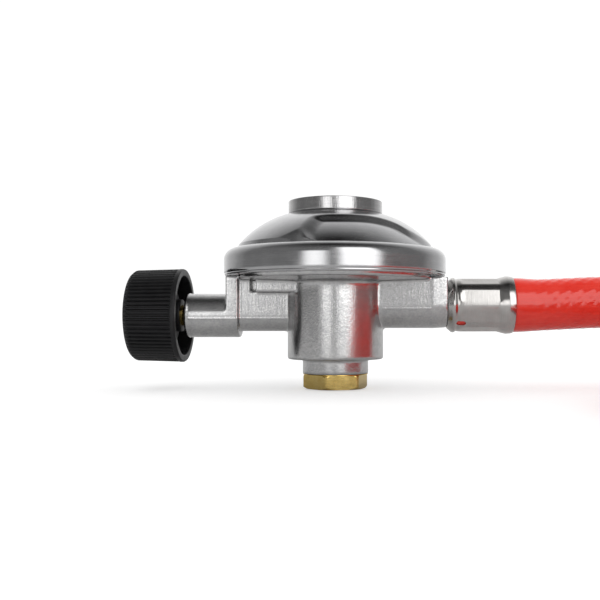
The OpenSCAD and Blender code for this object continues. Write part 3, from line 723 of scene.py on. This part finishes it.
def make_bonnet():
    land_r = DOME_CENTRE[0] + math.sqrt(DOME_R**2 - (CAP_SEAT_Z - DOME_CENTRE[1]) ** 2)
    inner_r = DOME_R - POCKET_DEPTH - 1.5
    radii = np.linspace(28.75, land_r, 68)
    dome = np.stack([radii, dome_height(radii)], -1)
    under = np.linspace(13, 27, 12)
    inner = np.stack([under, dome_height(under, inner_r)], -1)
    x, z, r = SHOULDER
    shoulder = [
        (x + r * math.cos(a), z + r * math.sin(a)) for a in np.radians(np.linspace(0, 90, 14))
    ]
    lower = rounded([
        (29.6, 33.1, 0.15), (32.4, 33.1, 0.3), (32.62, 33.45, 0.15), (32.55, 33.75, 0.1),
        (32.8, 34.1, 0.3), (32.8, 38.0, 0), (31.45, 38.0, 0), (31.45, 34.25, 0), (29.6, 34.25, 0),
    ], step=0.6)
    outside = lower[lower[:, 0] > 31.5]
    lip = lower[(lower[:, 0] <= 31.5) & (lower[:, 1] < 33.6)]
    outline = np.vstack([
        lip, outside[outside[:, 1] < 38.0], shoulder[:-1],
        [(29.95, 41.0), (29.6, 40.93), (29.35, 40.6), (29.22, 40.1), (29.1, 39.75), (28.9, 39.62)], dome[1:],
        [(12, CAP_SEAT_Z), (11, CAP_SEAT_Z), (11, 48), (11, 44.5), (13, 44.5)], inner[1:],
        [(27, 38.2), (29, 38.2), (31.45, 38.2), (31.45, 36.2), (31.45, 34.25), (29.6, 34.25)],
    ])
    on_dome = np.zeros(len(outline), bool)
    first = len(lip) + int((outside[:, 1] < 38.0).sum()) + len(shoulder) - 1 + 6
    on_dome[first : first + len(dome) - 1] = True

    def swirl(radius, height, angle):
        lowered = np.maximum(height - bonnet_depth(radius, angle), MOAT_Z + 0.05)
        return radius, np.where(on_dome[:, None], lowered, height)

    return turned("bonnet_shell", outline, 540, upright, swirl, crease=50)


bonnet = make_bonnet()
paint(bonnet, "bonnet_metal")
ride_as(bonnet, "regulator", "bonnet_metal", "bonnet")

cap = turned("cap", rounded([
    (0, 51.25, 0), (13.5, 51.25, 0), (13.75, 51.5, 0.1), (13.95, 51.8, 0.15), (13.95, 55.3, 0.22),
    (12.4, 55.3, 0), (12.2, 55.18, 0.05), (11.9, 55.3, 0), (0.9, 55.3, 0), (0.5, 55.1, 0),
    (0, 54.95, 0),
], step=0.5), 192, crease=40)
paint(cap, "machined_cap")
ride_as(cap, "regulator", "machined_cap", "top_cap")

# ---------------------------------------------------------------- knob

KNOB_X = -44.85
TAP_Z = 21.6
KNOB_RIBS = 66
KNOB_LEN = 15.15


def make_knob():
    def ribbed(radius, height, angle):
        wave = 0.5 + 0.5 * np.cos(KNOB_RIBS * angle)
        rib = smooth_step(wave, 0.25, 0.75) * 0.62 - 0.5
        where = smooth_step(height, 1.25, 1.45) * (1 - smooth_step(height, 13.4, 14.8))
        return np.where(radius > 12.05, radius + rib * where, radius), height

    outline = rounded([
        (11.8, 0.15, 0.1), (12.0, 0.0, 0.1), (13.65, 0.0, 0.2), (13.85, 0.4, 0.2), (13.85, 1.2, 0.1),
        (13.65, 1.4, 0), (13.3, 13.9, 0.9), (12.5, 15.0, 0.8), (10.2, 15.3, 0.5), (9.6, 15.4, 0.2),
        (8.9, 15.0, 0.2), (4.6, 15.0, 0.2), (4.2, 15.4, 0.15), (3.3, 15.4, 0.1), (3.3, 13.4, 0),
        (1.3, 13.4, 0), (1.3, 12.1, 0), (3.1, 12.1, 0), (3.1, 0.7, 0.1), (4.8, 0.7, 0.3),
        (4.8, 3.2, 0.2), (8.0, 3.2, 0.3), (8.0, 9.0, 0.3), (11.8, 9.0, 0.3),
    ], step=0.7)
    return turned("knob", outline, KNOB_RIBS * 8, along_minus_x((KNOB_X, 0, TAP_Z)), ribbed, crease=50)


knob = make_knob()
paint(knob, "knob_plastic")
ride_as(knob, "tap_handle", "knob_plastic", "tap_knob")

# ---------------------------------------------------------------- casting

CAST_VOXEL = 0.32           # grain of the mesh that the casting's solids are fused into
OUTLET_Z = 24.7


def prism(corners, low, high, axis="x"):
    """A closed solid: a polygon pushed along an axis. Corners are (y, z) along x."""
    ring = np.array(corners, float)
    points = [(at, y, z) for at in (low, high) for y, z in ring]
    count = len(ring)
    faces = [[k, (k + 1) % count, count + (k + 1) % count, count + k] for k in range(count)]
    faces += [list(range(count))[::-1], list(range(count, 2 * count))]
    return points, faces


def cradle(low, high, radius, axis_z, top, end_radius=None):
    """Round below and straight up to top, along x, tapering to end_radius if it is given."""
    rings = []
    for at, r in ((low, radius), (high, end_radius or radius)):
        below = np.radians(np.linspace(180, 360, 33))
        arc = [(at, r * math.cos(a), axis_z + r * math.sin(a)) for a in below]
        rings.append([*arc, (at, r, top), (at, -r, top)])
    count = len(rings[0])
    faces = lattice(2, count, loop=False)
    return rings[0] + rings[1], faces + [list(range(count))[::-1], list(range(count, 2 * count))]


def rod(low, high, radius, axis_z):
    around = np.linspace(0, 2 * math.pi, 96)[:-1]
    circle = [(radius * math.cos(a), axis_z + radius * math.sin(a)) for a in around]
    return prism(circle, low, high)


def box(x, y, z):
    return prism([(y[0], z[0]), (y[1], z[0]), (y[1], z[1]), (y[0], z[1])], *x)


def disc(outline, cols=160):
    """A solid turned about Z from an outline that touches the axis at both ends."""
    around = np.linspace(0, 2 * math.pi, cols + 1)[:-1]
    points = [(r * math.cos(a), r * math.sin(a), z) for r, z in outline for a in around]
    rows = len(outline)
    faces = lattice(rows, cols, loop=False)
    faces += [list(range(cols)), list(range(rows * cols - 1, (rows - 1) * cols - 1, -1))]
    return points, faces


def fused(name, solids):
    """Solids fused into one mesh with softened edges, as a casting has."""
    points, faces = [], []
    for more, sides in solids:
        faces += [[len(points) + k for k in face] for face in sides]
        points += [tuple(p) for p in more]
    mesh = bpy.data.meshes.new(name)
    mesh.from_pydata(points, [], faces)
    work = bmesh.new()
    work.from_mesh(mesh)
    bmesh.ops.recalc_face_normals(work, faces=work.faces)
    work.to_mesh(mesh)
    work.free()
    obj = bpy.data.objects.new(name, mesh)
    bpy.context.scene.collection.objects.link(obj)
    remesh = obj.modifiers.new("fuse", "REMESH")
    remesh.mode = "VOXEL"
    remesh.voxel_size = CAST_VOXEL
    soften = obj.modifiers.new("soften", "SMOOTH")
    soften.factor = 0.5
    soften.iterations = 3
    bpy.context.view_layer.update()
    made = bpy.data.meshes.new_from_object(obj.evaluated_get(bpy.context.evaluated_depsgraph_get()))
    obj.modifiers.clear()
    obj.data = made
    return obj


def casting_solids():
    underside = [
        (0.01, 29.0), (14.2, 29.0), (14.25, 30.7), (14.5, 31.2), (15.0, 31.5), (16, 31.65),
        (27.7, 32.1), (28.3, 32.35), (28.5, 32.8), (28.5, 34.4), (0.01, 34.4),
    ]
    boss = [(0.01, 8.7), (13.8, 8.7), (14.1, 8.9), (14.2, 9.3), (14.2, 31.5), (0.01, 31.5)]
    neck = [(0.01, 4.45), (9.75, 4.45), (9.75, 9.4), (0.01, 9.4)]
    flange = [(0.01, 34.25), (31.3, 34.25), (31.3, 36.2), (0.01, 36.2)]
    lug_x, slot = (-22.5, -9.4), 2.15
    return [
        disc(underside), disc(boss), disc(neck), disc(flange),
        cradle(-31.7, -28.2, 6.5, TAP_Z, 33),
        cradle(-28.6, 0, 4.7, TAP_Z, 28.6),
        box((-28.6, lug_x[0] - slot), (-4.7, 4.7), (28, 33)),
        box((-26, lug_x[0] + 0.5), (-2.6, 2.6), (28, 33)),
        box((lug_x[0], 0), (-4.7, 4.7), (28, 33)),
        box(lug_x, (-9.4, 9.4), (28.4, 33)),
        cradle(0, 28.6, 6.9, OUTLET_Z, 32.8), cradle(28.5, 33.0, 6.95, OUTLET_Z, 32.8, 6.68),
        rod(-43.95, -43.15, 6.65, TAP_Z), rod(-43.8, -29.5, 6.5, TAP_Z),
    ]


def add_parting_lines(mesh):
    """A thin flash where the two halves of the mould met, on both sides of the arms."""
    count = len(mesh.vertices)
    co = np.zeros(count * 3)
    mesh.vertices.foreach_get("co", co)
    co = co.reshape(-1, 3)
    for x0, x1, height in ((-43, -13.6, 20.6), (13.6, 28.4, 23.5)):
        near = np.exp(-(((co[:, 2] - height) / 0.22) ** 2)) * smooth_step(co[:, 0], x0, x0 + 0.6)
        near *= 1 - smooth_step(co[:, 0], x1 - 0.6, x1)
        near[np.abs(co[:, 1]) < 3] = 0
        co[:, 1] += np.sign(co[:, 1]) * 0.13 * near
    mesh.vertices.foreach_set("co", co.ravel())


def bored(obj):
    """Machines the gas ways and the diaphragm's chamber."""
    cutters = [
        disc([(0.01, 33.8), (27, 33.8), (27, 40), (0.01, 40)]),
        disc([(0.01, 26.5), (12.4, 26.5), (12.4, 40), (0.01, 40)]),
        disc([(0.01, 2), (8.0, 2), (8.0, 13.05), (0.01, 13.05)], 96),
        rod(-60, -5.5, 3.2, TAP_Z), rod(-60, -36, 4.45, TAP_Z), rod(-60, -43.2, 5.65, TAP_Z),
        rod(5, 50, 4.0, OUTLET_Z), rod(24, 50, 5.5, OUTLET_Z),
    ]
    for points, faces in cutters:
        mesh = bpy.data.meshes.new("cutter")
        mesh.from_pydata(points, [], faces)
        work = bmesh.new()
        work.from_mesh(mesh)
        bmesh.ops.recalc_face_normals(work, faces=work.faces)
        work.to_mesh(mesh)
        work.free()
        cutter = bpy.data.objects.new("cutter", mesh)
        bpy.context.scene.collection.objects.link(cutter)
        boolean(obj, cutter)


casting = fused("casting", casting_solids())
add_parting_lines(casting.data)
bored(casting)
casting.data.transform(Matrix.Scale(MM, 4))
casting.data.shade_smooth()
casting.data.set_sharp_from_angle(angle=math.radians(40))
paint(casting, "cast_alloy")
ride_as(casting, "regulator", "cast_alloy", "body")

# ---------------------------------------------------------------- studio

FLOOR_HALF = 12.0
FLOOR_GLOW = 0.48           # what the camera sees added to the floor, so that it is nearly white
FRONT_LIGHT = 0.22          # brightness of the dim room in front, to the sides
WALL_LIGHT = 1.1            # of the white wall behind
CEILING_SHARE = 0.05        # what is left of either straight overhead
SOFT_EDGE = 8               # degrees over which a soft box fades out
# Soft boxes: azimuth of the middle (0 in front, 90 on the right), half of the width, lowest and
# highest edge, all in degrees, and brightness
SOFT_BOXES = [(-18, 11, -20, 14, 1.8), (27, 20, -20, 46, 2.1)]

floor_mesh = bpy.data.meshes.new("floor")
corners = [(-1, -1), (1, -1), (1, 1), (-1, 1)]
floor_mesh.from_pydata([(x * FLOOR_HALF, y * FLOOR_HALF, 0) for x, y in corners], [], [(0, 1, 2, 3)])
floor = bpy.data.objects.new("floor", floor_mesh)
floor.location.z = -0.0002
bpy.context.scene.collection.objects.link(floor)


def pale_floor():
    material = bpy.data.materials.new("pale_floor")
    material.use_nodes = True
    tree = material.node_tree
    tree.nodes.clear()
    matt = add(tree, "ShaderNodeBsdfDiffuse", Color=(0.60, 0.60, 0.60, 1)).outputs[0]
    seen = add(tree, "ShaderNodeLightPath").outputs["Is Camera Ray"]
    glow = add(tree, "ShaderNodeEmission", Strength=sums(tree, "MULTIPLY", seen, FLOOR_GLOW)).outputs[0]
    both = add(tree, "ShaderNodeAddShader", i0=matt, i1=glow).outputs[0]
    add(tree, "ShaderNodeOutputMaterial", Surface=both)
    return material


floor_mesh.materials.append(pale_floor())


def soft_box(tree, azimuth, elevation, middle, half_width, low, high):
    """1 inside a soft box and 0 outside."""
    off = sums(tree, "ABSOLUTE", sums(tree, "SUBTRACT", azimuth, math.radians(middle)))
    inner, outer = math.radians(half_width - SOFT_EDGE / 2), math.radians(half_width + SOFT_EDGE / 2)
    across = spread(tree, off, 1.0, 0.0, inner, outer)
    above = spread(tree, elevation, 0.0, 1.0, math.radians(low), math.radians(low + SOFT_EDGE))
    below = spread(tree, elevation, 1.0, 0.0, math.radians(high), math.radians(high + SOFT_EDGE))
    return sums(tree, "MULTIPLY", across, sums(tree, "MULTIPLY", above, below))


def studio_world():
    """A dim room with a white wall behind, a dark ceiling, and two soft boxes in front. The camera
    sees plain white, and matt surfaces get an even white light instead of the boxes."""
    world = bpy.data.worlds.new("studio")
    bpy.context.scene.world = world
    world.use_nodes = True
    tree = world.node_tree
    tree.nodes.clear()
    way = add(tree, "ShaderNodeTexCoord").outputs["Generated"]
    x, y, z = add(tree, "ShaderNodeSeparateXYZ", Vector=way).outputs
    azimuth = sums(tree, "ARCTAN2", x, sums(tree, "MULTIPLY", y, -1.0))
    elevation = sums(tree, "ARCSINE", z)
    around = sums(tree, "ABSOLUTE", azimuth)
    walls = spread(tree, around, FRONT_LIGHT, WALL_LIGHT, math.radians(100), math.radians(165))
    overhead = spread(tree, elevation, 1.0, CEILING_SHARE, math.radians(40), math.radians(85))
    light = sums(tree, "MULTIPLY", walls, overhead)
    for middle, half_width, low, high, brightness in SOFT_BOXES:
        box_light = soft_box(tree, azimuth, elevation, middle, half_width, low, high)
        light = sums(tree, "ADD", light, sums(tree, "MULTIPLY", box_light, brightness))
    path = add(tree, "ShaderNodeLightPath").outputs
    sharp = add(tree, "ShaderNodeBackground", Color=(1, 1, 1, 1), Strength=light).outputs[0]
    soft = add(tree, "ShaderNodeBackground", Color=(1, 1, 1, 1), Strength=1.05).outputs[0]
    white = add(tree, "ShaderNodeBackground", Color=(1, 1, 1, 1), Strength=1.05).outputs[0]
    lit = add(tree, "ShaderNodeMixShader", i0=path["Is Diffuse Ray"], i1=sharp, i2=soft).outputs[0]
    surface = add(tree, "ShaderNodeMixShader", i0=path["Is Camera Ray"], i1=lit, i2=white).outputs[0]
    add(tree, "ShaderNodeOutputWorld", Surface=surface)
    world.cycles.sampling_method = "NONE"


studio_world()
